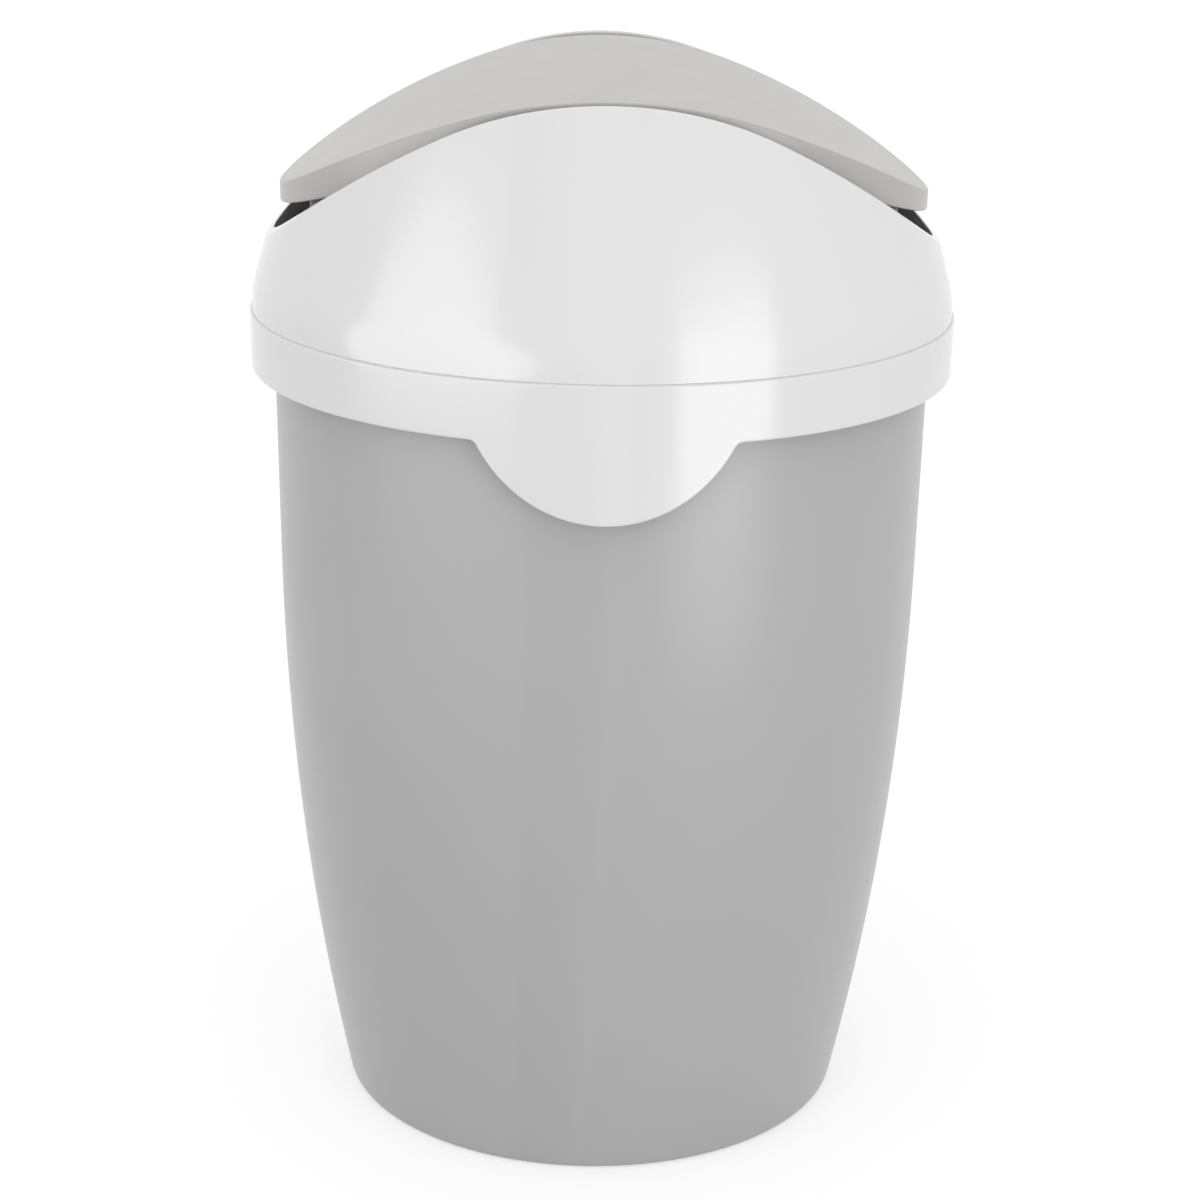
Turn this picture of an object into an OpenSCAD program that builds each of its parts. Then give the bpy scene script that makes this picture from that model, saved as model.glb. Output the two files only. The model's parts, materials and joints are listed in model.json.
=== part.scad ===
// Nappy bin with a lift-off hood and a swing flap.
// Millimetres, +Z up, front towards -Y, origin on the floor below the middle of the bin.
// The plan is an ellipse: round pieces are drawn at their width and squeezed to the depth.

/* [Bucket] */
// Outside width of the bucket under the lid
body_width = 252.2; // [235:0.1:275]
// Outside depth of the bucket under the lid
body_depth = 214.8; // [200:0.1:235]
// Height of the bucket's rim above the floor
body_height = 331.2; // [315:0.1:350]
// Radius of the curve that the sides follow down to the floor
side_radius = 1211; // [1100:1:1500]
// Height at which the sides become upright
side_straight_from = 234; // [200:1:250]
// Thickness of the bucket's wall
body_wall = 2.2; // [1.8:0.1:3]
// Thickness of the bucket's floor
floor_thick = 2.6; // [2:0.1:4]
// Height of the foot ring under the floor
foot_lift = 3; // [2:0.5:5]
// Width of the foot ring that the bin stands on
foot_width = 7; // [5:0.5:10]
// Rounding of the bucket's bottom edge
foot_round = 4; // [3:0.5:6]
// How far the rim stands out from the side
rim_reach = 5.4; // [4:0.1:7]
// Thickness of the rim
rim_thick = 2.2; // [1.8:0.1:3]
// Height of the rim's turned-down edge
rim_drop = 8; // [6:0.5:12]

/* [Hood] */
// Thickness of the hood's wall
hood_wall = 2.5; // [2:0.1:3]
// Gap between the bucket's rim and the inside of the skirt
skirt_gap = 1; // [0.6:0.1:1.5]
// Height of the skirt below the crease
skirt_drop = 21.8; // [18:0.1:26]
// Step from the skirt in to the dome above the crease
crease_step = 1; // [0.6:0.1:1.6]
// Radius of the curve at the foot of the dome
dome_radius = 50; // [40:1:65]
// Lean of the dome's wall in degrees
dome_lean = 16.5; // [15:0.5:18]
// Thickness of the ledge that rests on the rim
ledge_thick = 2; // [1.6:0.1:3]
// How far the ledge reaches in past the rim's inside
ledge_reach = 1.4; // [0.6:0.1:2]
// Gap at which the ledge rests over the rim
seat_gap = 0.3; // [0.2:0.05:0.4]
// Radius of the lifting tongue, drawn from the crease
tongue_radius = 50.8; // [46:0.1:56]
// Rounding where the tongue runs into the skirt
tongue_fillet = 3.5; // [2:0.5:5]

/* [Arch] */
// Height of the arch above the crease
arch_rise = 91.1; // [86:0.1:96]
// Radius of the arch at its crown
crown_radius = 129.2; // [120:0.1:140]
// Slope at which the crown runs into the flanks, in degrees
crown_angle = 26.7; // [25:0.1:28]
// Radius of the arch at its flanks
flank_radius = 278.6; // [250:0.1:320]

/* [Swing flap] */
// Height of the swing axis above the crease
axis_rise = 34; // [32:0.5:36]
// How far the flap's top lies below the top of the arch
flap_sink = 0.4; // [0:0.1:2]
// Radius of the flap's vault at its crown
vault_radius = 164; // [150:1:180]
// Slope at which the vault's crown runs into its flanks, in degrees
vault_angle = 18.3; // [16:0.1:20]
// Radius of the flap's vault at its flanks
vault_flank_radius = 286; // [260:1:320]
// Radius of the flap's lower edge
skirt_edge_radius = 280; // [260:1:310]
// Depth of the flap's skirt at the middle of its front
flap_skirt = 22.6; // [21:0.1:24]
// How far the flap's ends stop short of the hood's outside at the axis
nose_inset = 3.8; // [3.4:0.1:5]
// Room between the swinging flap and the hood's inside
swing_gap = 1.5; // [1.2:0.1:2.5]
// Thickness of the flap's shell
flap_wall = 2; // [1.6:0.1:2.4]
// Thickness of the carrier's panel
panel_thick = 1.8; // [1.4:0.1:2.4]
// Gap between the carrier and the flap's shell
carrier_gap = 0.2; // [0.1:0.05:0.4]
// Thickness of the carrier's cheeks
cheek_thick = 3; // [2.4:0.1:4]
// Width of the carrier's cheeks at the axis
cheek_width = 20; // [16:0.5:24]
// Width of the carrier's cheeks where they meet the panel
cheek_top_width = 52; // [44:1:60]

/* [Pivots] */
// Diameter of the pivot pins
pin_diameter = 6; // [5:0.1:7]
// Diameter of the pins' heads
pin_head_diameter = 10; // [9:0.1:12]
// Thickness of the pins' heads
pin_head_thick = 1.5; // [1:0.1:2]
// Radial clearance of the pins in their bearings
pin_clearance = 0.05; // [0.03:0.01:0.09]
// Wall of the bearing bushes
bush_wall = 1.6; // [1.4:0.1:2]
// Width of the bushes' flanges past their sleeves
bush_flange = 2.4; // [2:0.1:3]
// Thickness of the bushes' flanges
bush_flange_thick = 1.5; // [1:0.1:2]
// Side play of the flap between its bearings, on each side
side_play = 1; // [0.6:0.1:1.5]
// Distance of the bearing brackets in from the ledge
bracket_standoff = 19.5; // [17:0.5:21]
// Thickness of the bearing brackets
bracket_thick = 4; // [3:0.5:5]
// Wall around the bearing in its bracket
boss_wall = 3.2; // [2.6:0.1:3.6]
// Length of the bearing's boss behind its bracket
boss_length = 4; // [3:0.5:5]
// Width of the brackets at their foot
bracket_foot = 38; // [30:1:40]
// Thickness of the shelf and web that carry a bracket
web_thick = 3; // [2:0.5:4]
// How far the web stays below the swing axis
web_below_axis = 10; // [9:0.5:14]

/* [Counterweights] */
// Diameter of the steel counterweights
weight_diameter = 34; // [30:0.5:36]
// Thickness of the steel counterweights
weight_thick = 8.5; // [7:0.5:10]
// Distance of the counterweights below the swing axis
weight_drop = 42; // [38:0.5:45]
// Wall of the cups that hold the counterweights
cup_wall = 2.2; // [1.8:0.1:3]
// Clearance of the counterweights in their cups
weight_clearance = 0.1; // [0.05:0.05:0.2]

/* [Hidden] */

// How fine the round shapes are drawn: big curves, round pieces and small pieces
large_steps = 1080;
round_steps = 240;
small_steps = 64;
// How many straight steps stand for the curves of the bucket's side, its foot and the dome's foot
side_steps = 10;
foot_steps = 4;
dome_steps = 4;
// How far a cutting shape runs past what it cuts
past = 1;

// Bucket
plan_ratio = body_depth / body_width;
body_half = body_width / 2;
side_centre = body_half - side_radius;
rim_half = body_half + rim_reach;
foot_slope = asin((side_straight_from - foot_round) / (side_radius - foot_round));
foot_centre = side_centre + (side_radius - foot_round) * cos(foot_slope);
floor_top = foot_lift + floor_thick;

// Hood, with heights measured from the crease
crease = body_height + seat_gap + ledge_thick;
skirt_half = rim_half + skirt_gap + hood_wall;
dome_half = skirt_half - crease_step;
dome_centre = dome_half - dome_radius;
ledge_half = body_half - body_wall - ledge_reach;
hood_clear = 2 * skirt_half;
function dome_foot(inset) = (dome_radius - inset) * sin(dome_lean);
function dome_at(inset, height) =
    dome_centre + (dome_radius - inset) * cos(dome_lean)
    - (height - dome_foot(inset)) * tan(dome_lean);
function mid_wall_at(height) =
    height > 0 ? dome_at(hood_wall / 2, height) : dome_half - hood_wall / 2;

// Flap: its front edge swings on the largest circle that clears the hood's inside
flap_crown = arch_rise - flap_sink;
wall_slope = plan_ratio * tan(dome_lean);
swing_radius = plan_ratio * dome_at(hood_wall, axis_rise) / sqrt(1 + pow(wall_slope, 2)) - swing_gap;
flap_half_width = dome_at(0, axis_rise) - nose_inset;
flap_half_depth = sqrt(pow(swing_radius, 2) - pow(flap_crown - axis_rise, 2));
edge_centre = flap_crown - flap_skirt - skirt_edge_radius;
panel_inset = flap_wall + carrier_gap;

// Pivots, from the bracket in to the middle of the bin
bush_radius = pin_diameter / 2 + pin_clearance + bush_wall;
bracket_inside = ledge_half - bracket_standoff;
bush_inside = bracket_inside - bush_flange_thick;
boss_end = bracket_inside + bracket_thick + boss_length;
cheek_outside = bush_inside - side_play;
cheek_inside = cheek_outside - cheek_thick;
boss_radius = bush_radius + boss_wall;
cup_radius = weight_diameter / 2 + weight_clearance + cup_wall;

// A cylinder along X from one place to another
module rod(from, to, radius) {
    translate([from, 0, 0])
        rotate([0, 90, 0])
            cylinder(r = radius, h = to - from, $fn = small_steps);
}

// An outline in X and Z, drawn out along Y from one place to another
module slab(from, to) {
    translate([0, to, 0])
        rotate([90, 0, 0])
            linear_extrude(to - from)
                children();
}

// An outline in Y and Z, drawn out along X from one place to another
module plate(from, to) {
    translate([from, 0, 0])
        rotate([90, 0, 90])
            linear_extrude(to - from)
                children();
}

// A rounded gable, set in from its outside: a crown arc that runs on smoothly into two flank arcs
module gable(top, crown, angle, flank, inset) {
    crown_centre = top - crown;
    flank_centre = crown_centre + (crown - flank) * cos(angle);
    flank_offset = (flank - crown) * sin(angle);
    foot = crown_centre + (crown - inset) * cos(angle);
    translate([0, crown_centre])
        circle(r = crown - inset, $fn = large_steps);
    intersection() {
        translate([-hood_clear, -hood_clear])
            square([2 * hood_clear, hood_clear + foot]);
        translate([flank_offset, flank_centre])
            circle(r = flank - inset, $fn = large_steps);
        translate([-flank_offset, flank_centre])
            circle(r = flank - inset, $fn = large_steps);
    }
}

// A half outline turned round the bin's axis and squeezed to an oval, in four quarters
module turned(ratio) {
    for (quarter = [45:90:315])
        scale([1, ratio, 1])
            rotate(quarter)
                rotate_extrude(angle = 90, $fn = round_steps)
                    children();
}

// Points from one height to another down the bucket's side, set in from its outside
function side_at(inset, height) =
    side_centre + sqrt(pow(side_radius - inset, 2) - pow(max(side_straight_from - height, 0), 2));
function side_points(inset, from) =
    [for (step = [0:side_steps])
        let (height = side_straight_from + (from - side_straight_from) * step / side_steps)
            [side_at(inset, height), height]];

// Points down the rounded bottom edge, below the place where it leaves the side
function foot_points() =
    [for (step = [1:foot_steps])
        let (turn = foot_slope + (90 - foot_slope) * step / foot_steps)
            [foot_centre + foot_round * cos(turn), foot_round * (1 - sin(turn))]];

module bucket_outline() {
    difference() {
        polygon(concat([[0, 0], [0, body_height], [body_half, body_height]],
                       side_points(0, foot_round * (1 - sin(foot_slope))), foot_points()));
        polygon(concat([[0, floor_top], [0, body_height + past],
                        [body_half - body_wall, body_height + past]],
                       side_points(body_wall, floor_top)));
        translate([0, -past])
            square([foot_centre - foot_width, foot_lift + past]);
    }
    translate([body_half - body_wall, body_height - rim_thick])
        square([body_wall + rim_reach, rim_thick]);
    translate([rim_half - rim_thick, body_height - rim_drop])
        square([rim_thick, rim_drop]);
}

module bucket() {
    color([0.71, 0.715, 0.715])
        turned(plan_ratio)
            bucket_outline();
}

// Half outline of the dome above the crease, set in from its outside
module dome_outline(inset, top) {
    polygon(concat([[0, 0]],
                   [for (step = [0:dome_steps])
                       let (turn = dome_lean * step / dome_steps, radius = dome_radius - inset)
                           [dome_centre + radius * cos(turn), radius * sin(turn)]],
                   [[dome_at(inset, top), top], [0, top]]));
}

module hood_outline() {
    difference() {
        dome_outline(0, arch_rise + past);
        dome_outline(hood_wall, arch_rise + 2 * past);
    }
    translate([ledge_half, -ledge_thick])
        square([skirt_half - ledge_half, ledge_thick]);
    translate([skirt_half - hood_wall, -tongue_radius - past])
        square([hood_wall, tongue_radius + past]);
}

// What lies under the arch and above the skirt's lower edge
module arch_outline() {
    intersection() {
        gable(arch_rise, crown_radius, crown_angle, flank_radius, 0);
        translate([-hood_clear, -skirt_drop])
            square([2 * hood_clear, skirt_drop + arch_rise]);
    }
}

// The tongue below the skirt, with its rounded roots
module tongue_outline() {
    root = sqrt(pow(tongue_radius + tongue_fillet, 2) - pow(skirt_drop + tongue_fillet, 2));
    circle(r = tongue_radius, $fn = round_steps);
    difference() {
        translate([-root, -skirt_drop - tongue_fillet])
            square([2 * root, tongue_fillet + past]);
        for (side = [-1, 1])
            translate([side * root, -skirt_drop - tongue_fillet])
                circle(r = tongue_fillet, $fn = small_steps);
    }
}

module hood_shell() {
    intersection() {
        turned(plan_ratio)
            hood_outline();
        union() {
            slab(-hood_clear, hood_clear)
                arch_outline();
            slab(-hood_clear, 0)
                tongue_outline();
        }
    }
}

// One bearing bracket on its shelf, with the web that ties it to the wall
module bearing_bracket() {
    web_top = axis_rise - web_below_axis;
    shelf_bottom = -ledge_thick / 2;
    difference() {
        union() {
            plate(bracket_inside, bracket_inside + bracket_thick) {
                translate([0, axis_rise])
                    circle(r = boss_radius, $fn = small_steps);
                polygon([[-bracket_foot / 2, 0], [bracket_foot / 2, 0],
                         [boss_radius, axis_rise], [-boss_radius, axis_rise]]);
            }
            translate([0, 0, axis_rise])
                rod(bracket_inside, boss_end, boss_radius);
            slab(-web_thick / 2, web_thick / 2)
                polygon([[bracket_inside, shelf_bottom], [mid_wall_at(0), shelf_bottom],
                         [mid_wall_at(dome_foot(hood_wall / 2)), dome_foot(hood_wall / 2)],
                         [mid_wall_at(web_top), web_top], [bracket_inside, web_top]]);
            intersection() {
                translate([bracket_inside, -bracket_foot / 2, shelf_bottom])
                    cube([hood_clear, bracket_foot, web_thick]);
                translate([0, 0, shelf_bottom - past])
                    scale([1, plan_ratio, 1])
                        cylinder(r = mid_wall_at(0), h = web_thick + 2 * past, $fn = round_steps);
            }
        }
        translate([0, 0, axis_rise])
            rod(bracket_inside - past, boss_end + past, bush_radius);
    }
}

module hood() {
    color([0.9, 0.9, 0.9])
        translate([0, 0, crease]) {
            hood_shell();
            bearing_bracket();
            mirror([1, 0, 0])
                bearing_bracket();
        }
}

// A flanged bush in the right-hand bracket
module bearing() {
    color([0.86, 0.86, 0.84])
        translate([0, 0, crease + axis_rise])
            difference() {
                union() {
                    rod(bush_inside, bracket_inside, bush_radius + bush_flange);
                    rod(bush_inside, boss_end, bush_radius);
                }
                rod(bush_inside - past, boss_end + past, pin_diameter / 2 + pin_clearance);
            }
}

module bearing_right() {
    bearing();
}

module bearing_left() {
    mirror([1, 0, 0])
        bearing();
}

// The flap's plan, set in from its edge
module flap_plan(inset) {
    turned((flap_half_depth - inset) / (flap_half_width - inset))
        square([flap_half_width - inset, flap_crown]);
}

// What lies under the flap's vault, set in from its outside
module vault(inset) {
    slab(-flap_half_depth - past, flap_half_depth + past)
        gable(flap_crown, vault_radius, vault_angle, vault_flank_radius, inset);
}

module flap_cover() {
    color([0.8, 0.795, 0.79])
        translate([0, 0, crease])
            difference() {
                intersection() {
                    vault(0);
                    flap_plan(0);
                }
                intersection() {
                    vault(flap_wall);
                    flap_plan(flap_wall);
                }
                slab(-flap_half_depth - past, flap_half_depth + past)
                    translate([0, edge_centre])
                        circle(r = skirt_edge_radius, $fn = large_steps);
            }
}

// Outline of a cheek: the arm from the panel to the axis and down to the counterweight
module cheek_outline() {
    polygon([[-cheek_top_width / 2, flap_crown], [cheek_top_width / 2, flap_crown],
             [cheek_width / 2, axis_rise], [cheek_width / 2, axis_rise - weight_drop],
             [-cheek_width / 2, axis_rise - weight_drop], [-cheek_width / 2, axis_rise]]);
    translate([0, axis_rise - weight_drop])
        circle(r = cup_radius, $fn = small_steps);
}

module cheek() {
    difference() {
        union() {
            intersection() {
                plate(cheek_inside, cheek_outside)
                    cheek_outline();
                vault(panel_inset + panel_thick / 2);
            }
            translate([0, 0, axis_rise - weight_drop])
                rod(cheek_inside - weight_thick - weight_clearance, cheek_outside, cup_radius);
        }
        translate([0, 0, axis_rise - weight_drop])
            rod(cheek_inside - weight_thick - weight_clearance - past, cheek_inside,
                weight_diameter / 2 + weight_clearance);
        translate([0, 0, axis_rise])
            rod(cheek_inside - past, cheek_outside + past, pin_diameter / 2);
    }
}

module flap_carrier() {
    color([0.78, 0.78, 0.775])
        translate([0, 0, crease]) {
            difference() {
                intersection() {
                    vault(panel_inset);
                    flap_plan(panel_inset);
                }
                vault(panel_inset + panel_thick);
            }
            cheek();
            mirror([1, 0, 0])
                cheek();
        }
}

module pivot_pin() {
    color([0.72, 0.73, 0.74])
        translate([0, 0, crease + axis_rise]) {
            rod(cheek_inside - pin_head_thick, cheek_inside, pin_head_diameter / 2);
            rod(cheek_inside, boss_end, pin_diameter / 2);
        }
}

module pivot_pin_right() {
    pivot_pin();
}

module pivot_pin_left() {
    mirror([1, 0, 0])
        pivot_pin();
}

module counterweight() {
    color([0.55, 0.56, 0.57])
        translate([0, 0, crease + axis_rise - weight_drop])
            rod(cheek_inside - weight_thick - weight_clearance / 2, cheek_inside - weight_clearance / 2,
                weight_diameter / 2);
}

module counterweight_right() {
    counterweight();
}

module counterweight_left() {
    mirror([1, 0, 0])
        counterweight();
}

bucket();
hood();
bearing_left();
bearing_right();
flap_cover();
flap_carrier();
pivot_pin_left();
pivot_pin_right();
counterweight_left();
counterweight_right();
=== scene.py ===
import json
import math

import bmesh
import bpy
from mathutils import Matrix, Vector


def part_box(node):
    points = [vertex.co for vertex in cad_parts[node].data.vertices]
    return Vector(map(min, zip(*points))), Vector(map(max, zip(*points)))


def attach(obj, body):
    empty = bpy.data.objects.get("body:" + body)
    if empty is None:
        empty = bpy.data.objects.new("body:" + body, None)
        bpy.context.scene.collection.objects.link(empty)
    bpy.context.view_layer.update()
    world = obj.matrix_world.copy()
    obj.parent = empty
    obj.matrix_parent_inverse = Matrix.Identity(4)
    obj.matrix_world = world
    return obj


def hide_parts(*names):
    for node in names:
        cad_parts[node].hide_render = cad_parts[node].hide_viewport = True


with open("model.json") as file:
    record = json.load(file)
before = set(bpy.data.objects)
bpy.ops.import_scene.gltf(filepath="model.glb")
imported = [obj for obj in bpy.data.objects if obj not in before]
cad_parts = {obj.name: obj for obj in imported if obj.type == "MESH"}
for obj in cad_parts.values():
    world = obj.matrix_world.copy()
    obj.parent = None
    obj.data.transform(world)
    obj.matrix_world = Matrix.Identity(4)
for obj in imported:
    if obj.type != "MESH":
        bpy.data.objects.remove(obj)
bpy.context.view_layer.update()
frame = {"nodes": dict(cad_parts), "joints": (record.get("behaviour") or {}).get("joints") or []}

MM = 0.001

# Sizes in millimetres. Those that the solid model has too are the same here, or are read from its solids.
BUCKET_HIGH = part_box("bucket")[1]
HOOD_LOW, HOOD_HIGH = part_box("hood")
FLAP_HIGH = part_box("flap_cover")[1]
HINGE = next(joint for joint in frame["joints"] if joint["name"] == "flap_swing")

# Bucket
RIM_HALF = BUCKET_HIGH.x / MM
RIM_TOP = BUCKET_HIGH.z / MM
PLAN_RATIO = BUCKET_HIGH.y / BUCKET_HIGH.x
RIM_REACH = 5.4
RIM_THICK = 2.2
RIM_DROP = 8
BODY_HALF = RIM_HALF - RIM_REACH
BODY_WALL = 2.2
SIDE_RADIUS = 1211
SIDE_STRAIGHT_FROM = 234
FLOOR_THICK = 2.6
FOOT_LIFT = 3
FOOT_WIDTH = 7
FOOT_ROUND = 4
FLOOR_FILLET = 5

# Hood, with heights measured from the crease
SEAT_GAP = 0.3
LEDGE_THICK = 2
CREASE = RIM_TOP + SEAT_GAP + LEDGE_THICK
HOOD_WALL = 2.5
SKIRT_HALF = HOOD_HIGH.x / MM
SKIRT_DROP = 21.8
CREASE_STEP = 1
CREASE_GROOVE = 0.35
CREASE_LIP = 0.6
DOME_HALF = SKIRT_HALF - CREASE_STEP
DOME_RADIUS = 50
DOME_LEAN = math.radians(16.5)
LEDGE_REACH = 1.4
LEDGE_HALF = BODY_HALF - BODY_WALL - LEDGE_REACH
TONGUE_RADIUS = CREASE - HOOD_LOW.z / MM
TONGUE_FILLET = 3.5

# Arch
ARCH_RISE = HOOD_HIGH.z / MM - CREASE
CROWN_RADIUS = 129.2
CROWN_ANGLE = math.radians(26.7)
FLANK_RADIUS = 278.6

# Flap
FLAP_HALF_WIDTH = FLAP_HIGH.x / MM
FLAP_HALF_DEPTH = FLAP_HIGH.y / MM
FLAP_CROWN = FLAP_HIGH.z / MM - CREASE
FLAP_WALL = 2
VAULT_RADIUS = 164
VAULT_ANGLE = math.radians(18.3)
VAULT_FLANK_RADIUS = 286
EDGE_RADIUS = 280
FLAP_SKIRT = 22.6
FLAP_TOP_ROUND = 0.9
AXIS_RISE = HINGE["pos_m"][2] / MM - CREASE

# Bearing brackets inside the hood
BRACKET_STANDOFF = 19.5
BRACKET_THICK = 4
BRACKET_FOOT = 38
BOSS_WALL = 3.2
BOSS_LENGTH = 4
BUSH_RADIUS = 4.65
BRACKET_COLLAR = 0.8
WEB_THICK = 3
WEB_BELOW_AXIS = 10

# Roundings of moulded edges, and how finely pieces are drawn
EDGE_ROUND = 0.9
SMALL_ROUND = 0.5
GUARD = 0.3
FILLET_SHARE = 0.45
ARC_STEPS = 5
COLUMN_DEGREES = 0.5
ROOT_DEGREES = 0.125
ROOT_SPAN_DEGREES = 6
FOOT_ROUND_STEPS = 6
SIDE_ROWS = 40
INSIDE_ROWS = 36
DOME_ROWS = 26
SKIRT_ROWS = 8
FLAP_ROWS = 36
BRACKET_COLUMNS = 180
SHELF_STEPS = 12
WEB_STEPS = 6
BEVEL_STEPS = 3
HALVINGS = 40

# How far the plain rows of a wall stay clear of the roundings at its ends
SIDE_CLEAR = 4
SIDE_FOOT_CLEAR = 8
INSIDE_FOOT_CLEAR = 10
FOOT_INSIDE_ROUND = 1
DOME_FOOT_CLEAR = 2.2
DOME_TOP_CLEAR = 2.8
SKIRT_CLEAR = 3
SKIRT_TOP_CLEAR = 2.4
LEDGE_CLEAR = 2
FLAP_CLEAR = 4
FLAP_INSIDE_CLEAR = 3

# Points nearer than this, in metres, are one point, and edges shorter than this are dropped
SAME_POINT = 1e-7
NO_EDGE = 1e-8


def spread(first, last, steps):
    """Evenly spaced values from first to last."""
    return [first + (last - first) * i / steps for i in range(steps + 1)]


def plan(radius, turn, height):
    """A point of the oval plan, in metres: radius is its half width, turn its angle from +X."""
    return Vector((radius * math.cos(turn), PLAN_RATIO * radius * math.sin(turn), height)) * MM


def fillet(before, corner, after, radius):
    """Points that round a corner of a section. A guard point at each end keeps long faces' shading flat."""
    to_before = Vector(before) - Vector(corner)
    to_after = Vector(after) - Vector(corner)
    angle = to_before.angle(to_after)
    reach = radius / math.tan(angle / 2)
    room = min(to_before.length, to_after.length) - GUARD
    if reach > FILLET_SHARE * room:
        reach = FILLET_SHARE * room
        radius = reach * math.tan(angle / 2)
    u, w = to_before.normalized(), to_after.normalized()
    corner = Vector(corner)
    centre = corner + (u + w).normalized() * radius / math.sin(angle / 2)
    first = corner + u * reach - centre
    last = corner + w * reach - centre
    turn = first.angle_signed(last)
    arc = []
    for step in range(ARC_STEPS + 1):
        t = turn * step / ARC_STEPS
        arc.append(centre + Matrix.Rotation(-t, 2) @ first)
    return [corner + u * (reach + GUARD)] + arc + [corner + w * (reach + GUARD)]


def section(corners, closed):
    """A section outline from (radius, height, rounding) corners. A rounding of 0 keeps the point."""
    points = []
    count = len(corners)
    for i, (r, z, rounding) in enumerate(corners):
        if rounding == 0 or (not closed and i in (0, count - 1)):
            points.append(Vector((r, z)))
        else:
            points += fillet(corners[i - 1][:2], (r, z), corners[(i + 1) % count][:2], rounding)
    return points


def finish_mesh(name, mesh_maker, body, slot, material, *nodes):
    """Makes a smooth object from a bmesh, with its material, its body and the node it stands for."""
    mesh = bpy.data.meshes.new(name)
    bmesh.ops.recalc_face_normals(mesh_maker, faces=mesh_maker.faces)
    for face in mesh_maker.faces:
        face.smooth = True
    mesh_maker.to_mesh(mesh)
    mesh_maker.free()
    piece = bpy.data.objects.new(name, mesh)
    bpy.context.scene.collection.objects.link(piece)
    mesh.materials.append(material)
    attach(piece, body)
    if nodes:
        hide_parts(*nodes)
    return piece


def skin(sections, closed):
    """A bmesh over sections that stand all round an axis. Open sections start and end on it."""
    made = bmesh.new()
    rows = [[made.verts.new(point) for point in ring] for ring in sections]
    count = len(rows[0])
    spans = count if closed else count - 1
    for i, row in enumerate(rows):
        other = rows[(i + 1) % len(rows)]
        for j in range(spans):
            k = (j + 1) % count
            made.faces.new((row[j], other[j], other[k], row[k]))
    bmesh.ops.remove_doubles(made, verts=made.verts, dist=SAME_POINT)
    bmesh.ops.dissolve_degenerate(made, edges=made.edges, dist=NO_EDGE)
    return made


def even_turns():
    count = round(360 / COLUMN_DEGREES)
    return [2 * math.pi * i / count for i in range(count)]


def gable(top, crown, angle, flank, inset):
    """Height, by distance from the middle, of a crown arc that runs on smoothly into two flank arcs."""
    crown_centre = top - crown
    crown_end = (crown - inset) * math.sin(angle)
    flank_centre = crown_centre + (crown - flank) * math.cos(angle)
    flank_offset = (flank - crown) * math.sin(angle)

    def height(x):
        if abs(x) < crown_end:
            return crown_centre + math.sqrt((crown - inset) ** 2 - x ** 2)
        return flank_centre + math.sqrt((flank - inset) ** 2 - (abs(x) + flank_offset) ** 2)

    return height


# Bucket

SIDE_CENTRE = BODY_HALF - SIDE_RADIUS
FOOT_SLOPE = math.asin((SIDE_STRAIGHT_FROM - FOOT_ROUND) / (SIDE_RADIUS - FOOT_ROUND))
FOOT_CENTRE = SIDE_CENTRE + (SIDE_RADIUS - FOOT_ROUND) * math.cos(FOOT_SLOPE)


def side_at(inset, height):
    below = max(SIDE_STRAIGHT_FROM - height, 0)
    return SIDE_CENTRE + math.sqrt((SIDE_RADIUS - inset) ** 2 - below ** 2)


def side_rows(inset, low, high, steps):
    return [(side_at(inset, height), height, 0) for height in spread(low, high, steps)]


def bucket_section():
    foot_inside = FOOT_CENTRE - FOOT_WIDTH
    foot = [(FOOT_CENTRE + FOOT_ROUND * math.sin(t), FOOT_ROUND * (1 - math.cos(t)), 0)
            for t in spread(0, math.pi / 2 - FOOT_SLOPE, FOOT_ROUND_STEPS)]
    outside_top = RIM_TOP - RIM_THICK
    rim_inside = RIM_HALF - RIM_THICK
    rim_low = RIM_TOP - RIM_DROP
    floor_top = FOOT_LIFT + FLOOR_THICK
    inside = side_rows(BODY_WALL, floor_top + INSIDE_FOOT_CLEAR, RIM_TOP - SIDE_CLEAR, INSIDE_ROWS)
    return section(
        [(0, FOOT_LIFT, 0), (foot_inside, FOOT_LIFT, FOOT_INSIDE_ROUND), (foot_inside, 0, SMALL_ROUND)]
        + foot
        + side_rows(0, SIDE_FOOT_CLEAR, outside_top - SIDE_CLEAR, SIDE_ROWS)
        + [(BODY_HALF, outside_top, EDGE_ROUND), (rim_inside, outside_top, EDGE_ROUND),
           (rim_inside, rim_low, SMALL_ROUND), (RIM_HALF, rim_low, SMALL_ROUND),
           (RIM_HALF, RIM_TOP, EDGE_ROUND), (BODY_HALF - BODY_WALL, RIM_TOP, EDGE_ROUND)]
        + inside[::-1]
        + [(side_at(BODY_WALL, floor_top), floor_top, FLOOR_FILLET), (0, floor_top, 0)], False)


def make_bucket(material):
    outline = bucket_section()
    rings = [[plan(p.x, turn, p.y) for p in outline] for turn in even_turns()]
    made = skin(rings, False)
    finish_mesh("bucket_moulding", made, "bucket", "bucket_plastic", material, "bucket")


# Hood

arch_height = gable(ARCH_RISE, CROWN_RADIUS, CROWN_ANGLE, FLANK_RADIUS, 0)


def dome_at(inset, height):
    """Half width of the dome at a height, set in from its outside."""
    radius = DOME_RADIUS - inset
    centre = DOME_HALF - DOME_RADIUS
    foot = radius * math.sin(DOME_LEAN)
    if height < foot:
        return centre + math.sqrt(radius ** 2 - height ** 2)
    return centre + radius * math.cos(DOME_LEAN) - (height - foot) * math.tan(DOME_LEAN)


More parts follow.
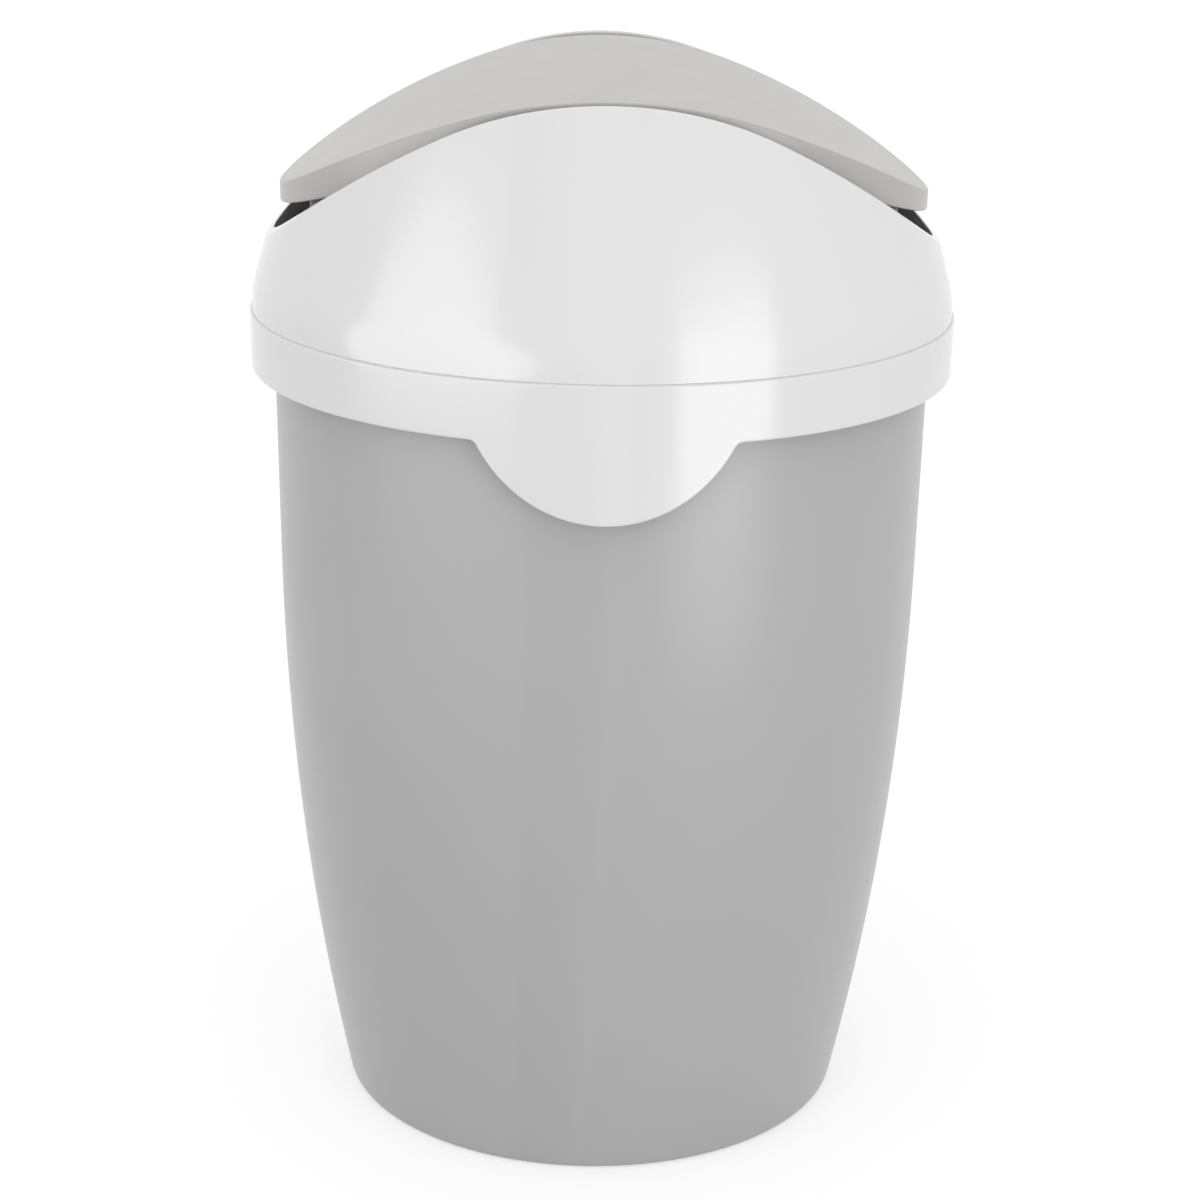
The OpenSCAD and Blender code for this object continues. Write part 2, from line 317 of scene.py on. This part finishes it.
def dome_top(inset, turn):
    """Height at which the arch cuts the dome's wall at a plan angle."""
    low, high = 0, ARCH_RISE
    for halving in range(HALVINGS):
        middle = (low + high) / 2
        if arch_height(dome_at(inset, middle) * math.cos(turn)) > middle:
            low = middle
        else:
            high = middle
    return low


def lower_edge(x):
    """Height of the skirt's lower edge at the front, with the tongue in its middle."""
    root = math.sqrt((TONGUE_RADIUS + TONGUE_FILLET) ** 2 - (SKIRT_DROP + TONGUE_FILLET) ** 2)
    joins = root * TONGUE_RADIUS / (TONGUE_RADIUS + TONGUE_FILLET)
    if abs(x) < joins:
        return -math.sqrt(TONGUE_RADIUS ** 2 - x ** 2)
    if abs(x) < root:
        return -SKIRT_DROP - TONGUE_FILLET + math.sqrt(TONGUE_FILLET ** 2 - (abs(x) - root) ** 2)
    return -SKIRT_DROP


def hood_turns():
    """Plan angles, closer together where the tongue's roots are."""
    root = math.degrees(math.acos(TONGUE_RADIUS / SKIRT_HALF))
    turns = []
    degrees = 0
    while degrees < 360 - COLUMN_DEGREES / 4:
        turns.append(math.radians(degrees))
        from_front = abs(degrees - 270)
        near_root = abs(from_front - (90 - root)) < ROOT_SPAN_DEGREES
        degrees += ROOT_DEGREES if near_root else COLUMN_DEGREES
    return turns


def hood_section(turn):
    low = lower_edge(SKIRT_HALF * math.cos(turn)) if math.sin(turn) < 0 else -SKIRT_DROP
    top_outside, top_inside = dome_top(0, turn), dome_top(HOOD_WALL, turn)
    inner_skirt = SKIRT_HALF - HOOD_WALL
    outside = spread(DOME_FOOT_CLEAR, top_outside - DOME_TOP_CLEAR, DOME_ROWS)
    inside = spread(DOME_FOOT_CLEAR, top_inside - DOME_TOP_CLEAR, DOME_ROWS)
    skirt_rows = spread(low + SKIRT_CLEAR, -SKIRT_TOP_CLEAR, SKIRT_ROWS)
    ledge_rows = spread(low + SKIRT_CLEAR, -LEDGE_THICK - LEDGE_CLEAR, SKIRT_ROWS)
    return section(
        [(inner_skirt, low, SMALL_ROUND), (SKIRT_HALF, low, EDGE_ROUND)]
        + [(SKIRT_HALF, height, 0) for height in skirt_rows]
        + [(SKIRT_HALF, 0, EDGE_ROUND), (DOME_HALF - CREASE_GROOVE, 0, SMALL_ROUND / 2),
           (dome_at(0, CREASE_LIP), CREASE_LIP, SMALL_ROUND / 2)]
        + [(dome_at(0, height), height, 0) for height in outside]
        + [(dome_at(0, top_outside), top_outside, EDGE_ROUND),
           (dome_at(HOOD_WALL, top_inside), top_inside, EDGE_ROUND)]
        + [(dome_at(HOOD_WALL, height), height, 0) for height in inside[::-1]]
        + [(dome_at(HOOD_WALL, 0), 0, EDGE_ROUND), (LEDGE_HALF, 0, SMALL_ROUND),
           (LEDGE_HALF, -LEDGE_THICK, SMALL_ROUND), (inner_skirt, -LEDGE_THICK, EDGE_ROUND)]
        + [(inner_skirt, height, 0) for height in ledge_rows[::-1]], True)


def make_hood(material):
    rings = [[plan(p.x, turn, CREASE + p.y) for p in hood_section(turn)] for turn in hood_turns()]
    made = skin(rings, True)
    finish_mesh("hood_moulding", made, "lid", "hood_plastic", material, "hood")


# Bearing brackets

BRACKET_INSIDE = LEDGE_HALF - BRACKET_STANDOFF
BOSS_RADIUS = BUSH_RADIUS + BOSS_WALL
BOSS_END = BRACKET_INSIDE + BRACKET_THICK + BOSS_LENGTH


def bracket_reach(turn):
    """Distance from the bush's middle to the bracket's outline; turn is the angle from +Y."""
    across, up = math.cos(turn), math.sin(turn)
    if up >= 0:
        return BOSS_RADIUS + BRACKET_COLLAR
    to_foot = AXIS_RISE / -up
    lean = (BRACKET_FOOT / 2 - BOSS_RADIUS) / AXIS_RISE
    to_side = BOSS_RADIUS / max(abs(across) + up * lean, 1e-6)
    return max(min(to_foot, to_side), BOSS_RADIUS + BRACKET_COLLAR)


def bracket_turns():
    """Angles round the bush, with one on each of the foot's corners."""
    corner = math.atan2(AXIS_RISE, BRACKET_FOOT / 2)
    near = [-corner, corner - math.pi]
    even = [2 * math.pi * i / BRACKET_COLUMNS - math.pi for i in range(BRACKET_COLUMNS)]
    return sorted(even + near)


def bracket_plate(side):
    """The upright plate with its boss, as sections that stand round the bush's bore."""
    axis = CREASE + AXIS_RISE
    plate_end = BRACKET_INSIDE + BRACKET_THICK
    rings = []
    for turn in bracket_turns():
        reach = bracket_reach(turn)
        outline = section(
            [(BUSH_RADIUS, BRACKET_INSIDE, SMALL_ROUND), (reach, BRACKET_INSIDE, EDGE_ROUND),
             (reach, plate_end, EDGE_ROUND), (BOSS_RADIUS, plate_end, SMALL_ROUND / 2),
             (BOSS_RADIUS, BOSS_END, EDGE_ROUND), (BUSH_RADIUS, BOSS_END, SMALL_ROUND)], True)
        rings.append([Vector((side * p.y, p.x * math.cos(turn), axis + p.x * math.sin(turn))) * MM
                      for p in outline])
    return skin(rings, True)


def prism(outline, thick, rounding):
    """A flat moulding with rounded edges: an outline in X and Y, thickened to both sides along Z."""
    made = bmesh.new()
    face = made.faces.new([made.verts.new(Vector((x, y, -thick / 2)) * MM) for x, y in outline])
    raised = bmesh.ops.extrude_face_region(made, geom=[face])["geom"]
    top = [part for part in raised if isinstance(part, bmesh.types.BMVert)]
    bmesh.ops.translate(made, vec=(0, 0, thick * MM), verts=top)
    bmesh.ops.bevel(made, geom=made.edges[:], offset=rounding * MM, segments=BEVEL_STEPS, profile=0.5,
                    affect="EDGES")
    return made


def add_to(made, other):
    """Adds one bmesh to another."""
    passing = bpy.data.meshes.new("passing")
    other.to_mesh(passing)
    other.free()
    made.from_mesh(passing)
    bpy.data.meshes.remove(passing)


def mid_wall(height):
    return dome_at(HOOD_WALL / 2, height) if height > 0 else DOME_HALF - HOOD_WALL / 2


def bracket_web(side):
    """The upright web that ties a bracket to the hood's wall."""
    top = AXIS_RISE - WEB_BELOW_AXIS
    wall = [(side * mid_wall(height), height) for height in spread(0, top, WEB_STEPS)]
    outline = [(side * BRACKET_INSIDE, 0)] + wall + [(side * BRACKET_INSIDE, top)]
    made = prism(outline, WEB_THICK, SMALL_ROUND)
    upright = Matrix.Translation((0, 0, CREASE * MM)) @ Matrix.Rotation(math.pi / 2, 4, "X")
    bmesh.ops.transform(made, matrix=upright, verts=made.verts)
    return made


def bracket_shelf(side):
    """The shelf that carries a bracket, out to the middle of the hood's wall."""
    half = BRACKET_FOOT / 2
    wall = [(side * math.sqrt(mid_wall(0) ** 2 - (y / PLAN_RATIO) ** 2), y)
            for y in spread(-half, half, SHELF_STEPS)]
    outline = [(side * BRACKET_INSIDE, -half)] + wall + [(side * BRACKET_INSIDE, half)]
    made = prism(outline, WEB_THICK, SMALL_ROUND)
    raise_to = (CREASE + (WEB_THICK - LEDGE_THICK) / 2) * MM
    bmesh.ops.translate(made, vec=(0, 0, raise_to), verts=made.verts)
    return made


def make_brackets(material):
    for name, side in (("left", -1), ("right", 1)):
        made = bracket_plate(side)
        add_to(made, bracket_web(side))
        add_to(made, bracket_shelf(side))
        piece = finish_mesh("bearing_bracket_" + name, made, "lid", "hood_plastic", material, "hood")
        piece.modifiers.new("even_shading", "WEIGHTED_NORMAL")


# Flap

EDGE_CENTRE = FLAP_CROWN - FLAP_SKIRT - EDGE_RADIUS
vault_outside = gable(FLAP_CROWN, VAULT_RADIUS, VAULT_ANGLE, VAULT_FLANK_RADIUS, 0)
vault_inside = gable(FLAP_CROWN, VAULT_RADIUS, VAULT_ANGLE, VAULT_FLANK_RADIUS, FLAP_WALL)


def flap_section(turn):
    edge = Vector((FLAP_HALF_WIDTH * math.cos(turn), FLAP_HALF_DEPTH * math.sin(turn)))
    reach = edge.length
    inner = reach - FLAP_WALL
    lean = edge.x / reach

    def lower_edge_at(t):
        return EDGE_CENTRE + math.sqrt(EDGE_RADIUS ** 2 - (t * lean) ** 2)

    outside = spread(0, reach - FLAP_CLEAR, FLAP_ROWS)
    inside = spread(0, inner - FLAP_INSIDE_CLEAR, FLAP_ROWS)
    outline = section(
        [(t, vault_outside(t * lean), 0) for t in outside]
        + [(reach, vault_outside(edge.x), FLAP_TOP_ROUND), (reach, lower_edge_at(reach), EDGE_ROUND),
           (inner, lower_edge_at(inner), SMALL_ROUND), (inner, vault_inside(inner * lean), EDGE_ROUND)]
        + [(t, vault_inside(t * lean), 0) for t in inside[::-1]], False)
    direction = edge / reach
    return [Vector((direction.x * p.x, direction.y * p.x, CREASE + p.y)) * MM for p in outline]


def make_flap(material):
    rings = [flap_section(turn) for turn in even_turns()]
    made = skin(rings, False)
    finish_mesh("flap_moulding", made, "flap", "flap_plastic", material, "flap_cover")


# Materials

PLASTIC_IOR = 1.5
CLOUD_SCALE = 9
CLOUD_EDGES = (0.3, 0.7)
WEAR_SCALE = 60
PLASTIC_WEAR = 0.15
RING_SCALE = 400
RING_SHADE = 0.85
STEEL_WEAR = 0.2


def plastic(name, colour, roughness, mottle, grain, grain_size):
    """Moulded plastic: faint cloudy colour, slightly uneven roughness, and a fine moulded grain."""
    material = bpy.data.materials.new(name)
    material.use_nodes = True
    nodes, links = material.node_tree.nodes, material.node_tree.links
    shader = nodes["Principled BSDF"]
    shader.inputs["IOR"].default_value = PLASTIC_IOR
    place = nodes.new("ShaderNodeTexCoord")

    clouds = nodes.new("ShaderNodeTexNoise")
    clouds.inputs["Scale"].default_value = CLOUD_SCALE
    clouds.inputs["Detail"].default_value = 4
    links.new(place.outputs["Object"], clouds.inputs["Vector"])
    tint = nodes.new("ShaderNodeValToRGB")
    tint.color_ramp.elements[0].position = CLOUD_EDGES[0]
    tint.color_ramp.elements[1].position = CLOUD_EDGES[1]
    tint.color_ramp.elements[0].color = [c * (1 - mottle) for c in colour] + [1]
    tint.color_ramp.elements[1].color = list(colour) + [1]
    links.new(clouds.outputs["Fac"], tint.inputs["Fac"])
    links.new(tint.outputs["Color"], shader.inputs["Base Color"])

    wear = nodes.new("ShaderNodeTexNoise")
    wear.inputs["Scale"].default_value = WEAR_SCALE
    wear.inputs["Detail"].default_value = 6
    links.new(place.outputs["Object"], wear.inputs["Vector"])
    uneven = nodes.new("ShaderNodeMapRange")
    uneven.inputs["To Min"].default_value = roughness * (1 - PLASTIC_WEAR)
    uneven.inputs["To Max"].default_value = roughness * (1 + PLASTIC_WEAR)
    links.new(wear.outputs["Fac"], uneven.inputs["Value"])
    links.new(uneven.outputs["Result"], shader.inputs["Roughness"])

    skin_grain = nodes.new("ShaderNodeTexNoise")
    skin_grain.inputs["Scale"].default_value = 1 / grain_size
    skin_grain.inputs["Detail"].default_value = 2
    links.new(place.outputs["Object"], skin_grain.inputs["Vector"])
    bump = nodes.new("ShaderNodeBump")
    bump.inputs["Strength"].default_value = 1
    bump.inputs["Distance"].default_value = grain
    links.new(skin_grain.outputs["Fac"], bump.inputs["Height"])
    links.new(bump.outputs["Normal"], shader.inputs["Normal"])
    return material


def steel(name, colour, roughness):
    """Turned steel: fine rings of brightness and roughness."""
    material = bpy.data.materials.new(name)
    material.use_nodes = True
    nodes, links = material.node_tree.nodes, material.node_tree.links
    shader = nodes["Principled BSDF"]
    shader.inputs["Metallic"].default_value = 1
    place = nodes.new("ShaderNodeTexCoord")
    rings = nodes.new("ShaderNodeTexWave")
    rings.wave_type = "RINGS"
    rings.rings_direction = "X"
    rings.inputs["Scale"].default_value = RING_SCALE
    rings.inputs["Distortion"].default_value = 2
    links.new(place.outputs["Object"], rings.inputs["Vector"])
    tint = nodes.new("ShaderNodeValToRGB")
    tint.color_ramp.elements[0].color = [c * RING_SHADE for c in colour] + [1]
    tint.color_ramp.elements[1].color = list(colour) + [1]
    links.new(rings.outputs["Fac"], tint.inputs["Fac"])
    links.new(tint.outputs["Color"], shader.inputs["Base Color"])
    uneven = nodes.new("ShaderNodeMapRange")
    uneven.inputs["To Min"].default_value = roughness * (1 - STEEL_WEAR)
    uneven.inputs["To Max"].default_value = roughness * (1 + STEEL_WEAR)
    links.new(rings.outputs["Fac"], uneven.inputs["Value"])
    links.new(uneven.outputs["Result"], shader.inputs["Roughness"])
    return material


def dress_node(name, material):
    """Gives a node that shows as it is its material."""
    node = frame["nodes"][name]
    node.data.materials.clear()
    node.data.materials.append(material)


# Stage, lights and camera

def rays_that_see(nodes, links):
    """1 for rays from the camera, from gloss and through glass, 0 for those that carry light."""
    path = nodes.new("ShaderNodeLightPath")
    first = nodes.new("ShaderNodeMath")
    first.operation = "ADD"
    links.new(path.outputs["Is Camera Ray"], first.inputs[0])
    links.new(path.outputs["Is Glossy Ray"], first.inputs[1])
    both = nodes.new("ShaderNodeMath")
    both.operation = "ADD"
    both.use_clamp = True
    links.new(first.outputs[0], both.inputs[0])
    links.new(path.outputs["Is Transmission Ray"], both.inputs[1])
    return both.outputs[0]


FLOOR_HALF = 20.0
FLOOR_COLOUR = 0.6
FLOOR_GLOW = 0.52
WORLD_LIGHT = 0.85


def make_floor():
    material = bpy.data.materials.new("studio_floor")
    material.use_nodes = True
    nodes, links = material.node_tree.nodes, material.node_tree.links
    nodes.remove(nodes["Principled BSDF"])
    paper = nodes.new("ShaderNodeBsdfDiffuse")
    paper.inputs["Color"].default_value = (FLOOR_COLOUR, FLOOR_COLOUR, FLOOR_COLOUR, 1)
    glow = nodes.new("ShaderNodeEmission")
    seen = rays_that_see(nodes, links)
    level = nodes.new("ShaderNodeMath")
    level.operation = "MULTIPLY"
    level.inputs[1].default_value = FLOOR_GLOW
    links.new(seen, level.inputs[0])
    links.new(level.outputs[0], glow.inputs["Strength"])
    both = nodes.new("ShaderNodeAddShader")
    links.new(paper.outputs[0], both.inputs[0])
    links.new(glow.outputs[0], both.inputs[1])
    links.new(both.outputs[0], nodes["Material Output"].inputs["Surface"])
    mesh = bpy.data.meshes.new("studio_floor")
    corners = [(-1, -1), (1, -1), (1, 1), (-1, 1)]
    mesh.from_pydata([(x * FLOOR_HALF, y * FLOOR_HALF, 0) for x, y in corners], [], [(0, 1, 2, 3)])
    mesh.materials.append(material)
    floor = bpy.data.objects.new("studio_floor", mesh)
    bpy.context.scene.collection.objects.link(floor)


def make_world():
    world = bpy.data.worlds.new("studio")
    bpy.context.scene.world = world
    world.use_nodes = True
    nodes, links = world.node_tree.nodes, world.node_tree.links
    seen = rays_that_see(nodes, links)
    level = nodes.new("ShaderNodeMapRange")
    level.inputs["To Min"].default_value = WORLD_LIGHT
    level.inputs["To Max"].default_value = 1
    links.new(seen, level.inputs["Value"])
    links.new(level.outputs["Result"], nodes["Background"].inputs["Strength"])
    nodes["Background"].inputs["Color"].default_value = (1, 1, 1, 1)


# Each light: name, shape, azimuth to the right of the front, distance, height of its middle, width, height,
# power, and whether it shows only in the gloss, as the studio's windows do, or only gives soft light
LIGHTS = [("right_window", "RECTANGLE", 33, 0.75, 0.255, 0.36, 0.51, 1.9, True),
          ("left_window", "ELLIPSE", -48, 1.2, 0.25, 1.39, 0.86, 8.6, True),
          ("right_fill", "RECTANGLE", 33, 1.2, 0.32, 0.62, 0.64, 2.1, False),
          ("left_fill", "RECTANGLE", -48, 1.2, 0.4, 1.2, 0.8, 2.3, False)]


def make_lights():
    for name, shape, azimuth, distance, height, width, tall, power, in_gloss in LIGHTS:
        light = bpy.data.lights.new(name, "AREA")
        light.shape = shape
        light.size = width
        light.size_y = tall
        light.energy = power
        lamp = bpy.data.objects.new(name, light)
        bpy.context.scene.collection.objects.link(lamp)
        lamp.visible_glossy = in_gloss
        lamp.visible_diffuse = not in_gloss
        turn = math.radians(azimuth)
        lamp.location = (distance * math.sin(turn), -distance * math.cos(turn), height)
        lamp.rotation_euler = (math.pi / 2, 0, turn)


# Where the photograph was taken from, fitted to the bin's outline
CAMERA_PLACE = Vector((-16.0, -897.1, 558.8)) * MM
CAMERA_PITCH = math.radians(21.183)
CAMERA_YAW = math.radians(1.0817)
CAMERA_ROLL = math.radians(-0.9587)
CAMERA_LENS = 71.41
SENSOR_WIDTH = 36


def make_camera():
    camera = bpy.data.cameras.new("camera")
    camera.lens = CAMERA_LENS
    camera.sensor_width = SENSOR_WIDTH
    camera.sensor_fit = "HORIZONTAL"
    holder = bpy.data.objects.new("camera", camera)
    bpy.context.scene.collection.objects.link(holder)
    forward = Vector((math.sin(CAMERA_YAW) * math.cos(CAMERA_PITCH),
                      math.cos(CAMERA_YAW) * math.cos(CAMERA_PITCH), -math.sin(CAMERA_PITCH)))
    level = Vector((math.cos(CAMERA_YAW), -math.sin(CAMERA_YAW), 0))
    down = forward.cross(level)
    right = math.cos(CAMERA_ROLL) * level + math.sin(CAMERA_ROLL) * down
    up = math.sin(CAMERA_ROLL) * level - math.cos(CAMERA_ROLL) * down
    turn = Matrix((right, up, -forward)).transposed()
    holder.matrix_world = Matrix.Translation(CAMERA_PLACE) @ turn.to_4x4()
    bpy.context.scene.camera = holder


def main():
    bucket_plastic = plastic("bucket_plastic", (0.474, 0.474, 0.474), 0.34, 0.03, 0.00002, 0.0012)
    hood_plastic = plastic("hood_plastic", (0.84, 0.84, 0.842), 0.16, 0.015, 0.00001, 0.004)
    flap_plastic = plastic("flap_plastic", (0.52, 0.51, 0.50), 0.34, 0.02, 0.00002, 0.0012)
    carrier_plastic = plastic("carrier_plastic", (0.57, 0.565, 0.555), 0.45, 0.03, 0.00003, 0.0015)
    bearing_plastic = plastic("bearing_plastic", (0.7, 0.7, 0.67), 0.4, 0.03, 0.00002, 0.001)
    pin_steel = steel("pin_steel", (0.48, 0.49, 0.5), 0.3)
    weight_steel = steel("weight_steel", (0.27, 0.275, 0.28), 0.38)
    make_bucket(bucket_plastic)
    make_hood(hood_plastic)
    make_brackets(hood_plastic)
    make_flap(flap_plastic)
    dress_node("flap_carrier", carrier_plastic)
    for side in ("left", "right"):
        dress_node("bearing_" + side, bearing_plastic)
        dress_node("pivot_pin_" + side, pin_steel)
        dress_node("counterweight_" + side, weight_steel)
    make_floor()
    make_world()
    make_lights()
    make_camera()
    bpy.context.scene.view_settings.view_transform = "Standard"


main()
